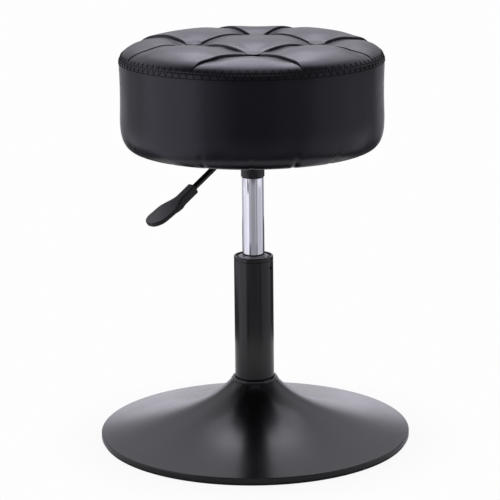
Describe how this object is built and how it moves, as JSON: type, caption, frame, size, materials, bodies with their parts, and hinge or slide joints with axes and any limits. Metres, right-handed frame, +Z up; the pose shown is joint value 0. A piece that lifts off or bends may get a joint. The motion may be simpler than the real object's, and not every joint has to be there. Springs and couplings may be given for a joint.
{
  "type": "swivel vanity stool",
  "caption": "Round swivel stool with a button-tufted padded vinyl seat, a gas lift worked by a lever under the seat, and a flared trumpet base.",
  "frame": {"origin": "on the floor, on the axis of the column", "axes": "+Z up along the column, -Y to the front of the picture, +X to its right; the lever points to the front left"},
  "size_m": [0.3968, 0.3968, 0.5164],
  "materials": {
    "satin_black_paint": "satin black powder coat",
    "gloss_black_plastic": "gloss black",
    "matte_black_plastic": "matte black, fine grain",
    "black_rubber": "matte",
    "black_vinyl": "soft black vinyl with a fine grain and a low sheen",
    "dark_felt": "black non-woven cloth",
    "chrome": "polished chrome",
    "bright_steel": "zinc-plated steel",
    "grey_nylon": "moulded grey nylon",
    "pale_foam": "open-cell foam",
    "plywood": "raw plywood",
    "twine": "waxed twine"
  },
  "bodies": {
    "base": {"base_shell": "satin_black_paint", "floor_ring": "black_rubber", "bottom_plate": "satin_black_paint", "base_hub": "satin_black_paint", "trim_ring": "gloss_black_plastic", "outer_column": "satin_black_paint", "guide_bush": "grey_nylon", "guide_ring": "bright_steel", "lower_race": "bright_steel"},
    "swivel": {"thrust_cage": "bright_steel", "upper_race": "bright_steel", "piston_rod": "bright_steel", "piston": "bright_steel", "piston_nut": "bright_steel", "stop_cushion": "black_rubber", "clip_washer": "bright_steel", "retaining_clip": "bright_steel"},
    "seat": {"gas_cylinder": "chrome", "cylinder_gland": "matte_black_plastic", "valve_body": "bright_steel", "taper_socket": "satin_black_paint", "seat_plate": "satin_black_paint", "lever_ear_left": "satin_black_paint", "lever_ear_right": "satin_black_paint", "pivot_pin": "bright_steel", "pivot_clip": "bright_steel", "seat_bolt_1": "bright_steel", "seat_bolt_2": "bright_steel", "seat_bolt_3": "bright_steel", "seat_bolt_4": "bright_steel", "bolt_washer_1": "bright_steel", "bolt_washer_2": "bright_steel", "bolt_washer_3": "bright_steel", "bolt_washer_4": "bright_steel", "tee_nut_1": "bright_steel", "tee_nut_2": "bright_steel", "tee_nut_3": "bright_steel", "tee_nut_4": "bright_steel", "seat_board": "plywood", "foam_pad": "pale_foam", "top_panel": "black_vinyl", "side_band": "black_vinyl", "dust_cover": "dark_felt", "tuft_button_1": "black_vinyl", "tuft_button_2": "black_vinyl", "tuft_button_3": "black_vinyl", "tuft_button_4": "black_vinyl", "button_tie_1": "twine", "button_tie_2": "twine", "button_tie_3": "twine", "button_tie_4": "twine"},
    "lever": {"lever_rod": "satin_black_paint", "lever_grip": "matte_black_plastic"},
    "valve": {"release_pin": "bright_steel"}
  },
  "joints": [
    {"name": "seat_swivel", "type": "hinge", "parent": "base", "child": "swivel", "pos_m": [0, 0, 0], "axis": [0, 0, 1], "continuous": true},
    {"name": "seat_lift", "type": "slide", "parent": "swivel", "child": "seat", "axis": [0, 0, 1], "range_m": [-0.098, 0]},
    {"name": "lever_lift", "type": "hinge", "parent": "seat", "child": "lever", "pos_m": [-0.01992, -0.01671, 0.3665], "axis": [-0.6428, 0.766, 0], "range_deg": [0, 8], "stiffness_Nm_per_rad": 6, "springref_deg": -5.73},
    {"name": "pin_press", "type": "slide", "parent": "seat", "child": "valve", "axis": [0, 0, -1], "range_m": [0, 0.0038]}
  ],
  "couplings": [
    {"joint": "pin_press", "follows": "lever_lift", "m_per_rad": 0.0265}
  ]
}
